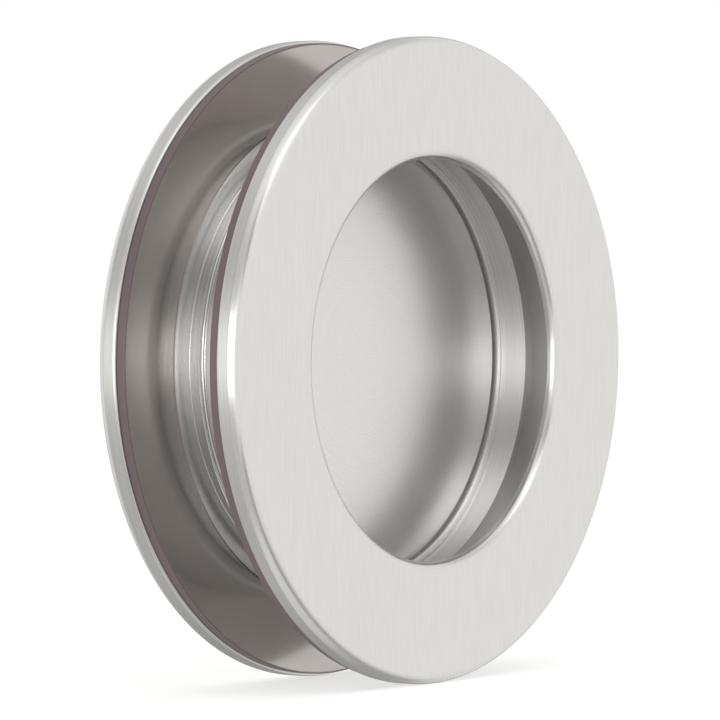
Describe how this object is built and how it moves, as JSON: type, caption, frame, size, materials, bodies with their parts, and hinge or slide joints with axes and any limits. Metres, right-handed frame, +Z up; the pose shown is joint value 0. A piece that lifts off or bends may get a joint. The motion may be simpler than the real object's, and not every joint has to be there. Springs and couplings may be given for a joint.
{
  "type": "recessed pull handle",
  "caption": "Round recessed pull handle for a sliding glass door, two turned aluminium shells that screw together through the pane, with a shallow finger recess on each side.",
  "frame": {"origin": "on the handle's axis, at the middle of the glass pane and of the whole handle", "axes": "+Y along the axis from the front recess to the rear one, so the front face looks along -Y; +X to the right seen from the front; +Z up"},
  "size_m": [0.065, 0.0176, 0.065],
  "materials": {
    "front_shell": "satin anodised, fine upright hairline on the face, turned walls",
    "rear_shell": "satin anodised, fine upright hairline on the face, turned tube",
    "recess_floor": "satin anodised, fine rings turned round the centre",
    "gasket": "smooth soft sheet, brown and glossy"
  },
  "bodies": {
    "root": {"front_half": "front_shell", "rear_half": "rear_shell", "floor_disc": "recess_floor", "front_gasket": "gasket", "rear_gasket": "gasket"}
  },
  "joints": []
}
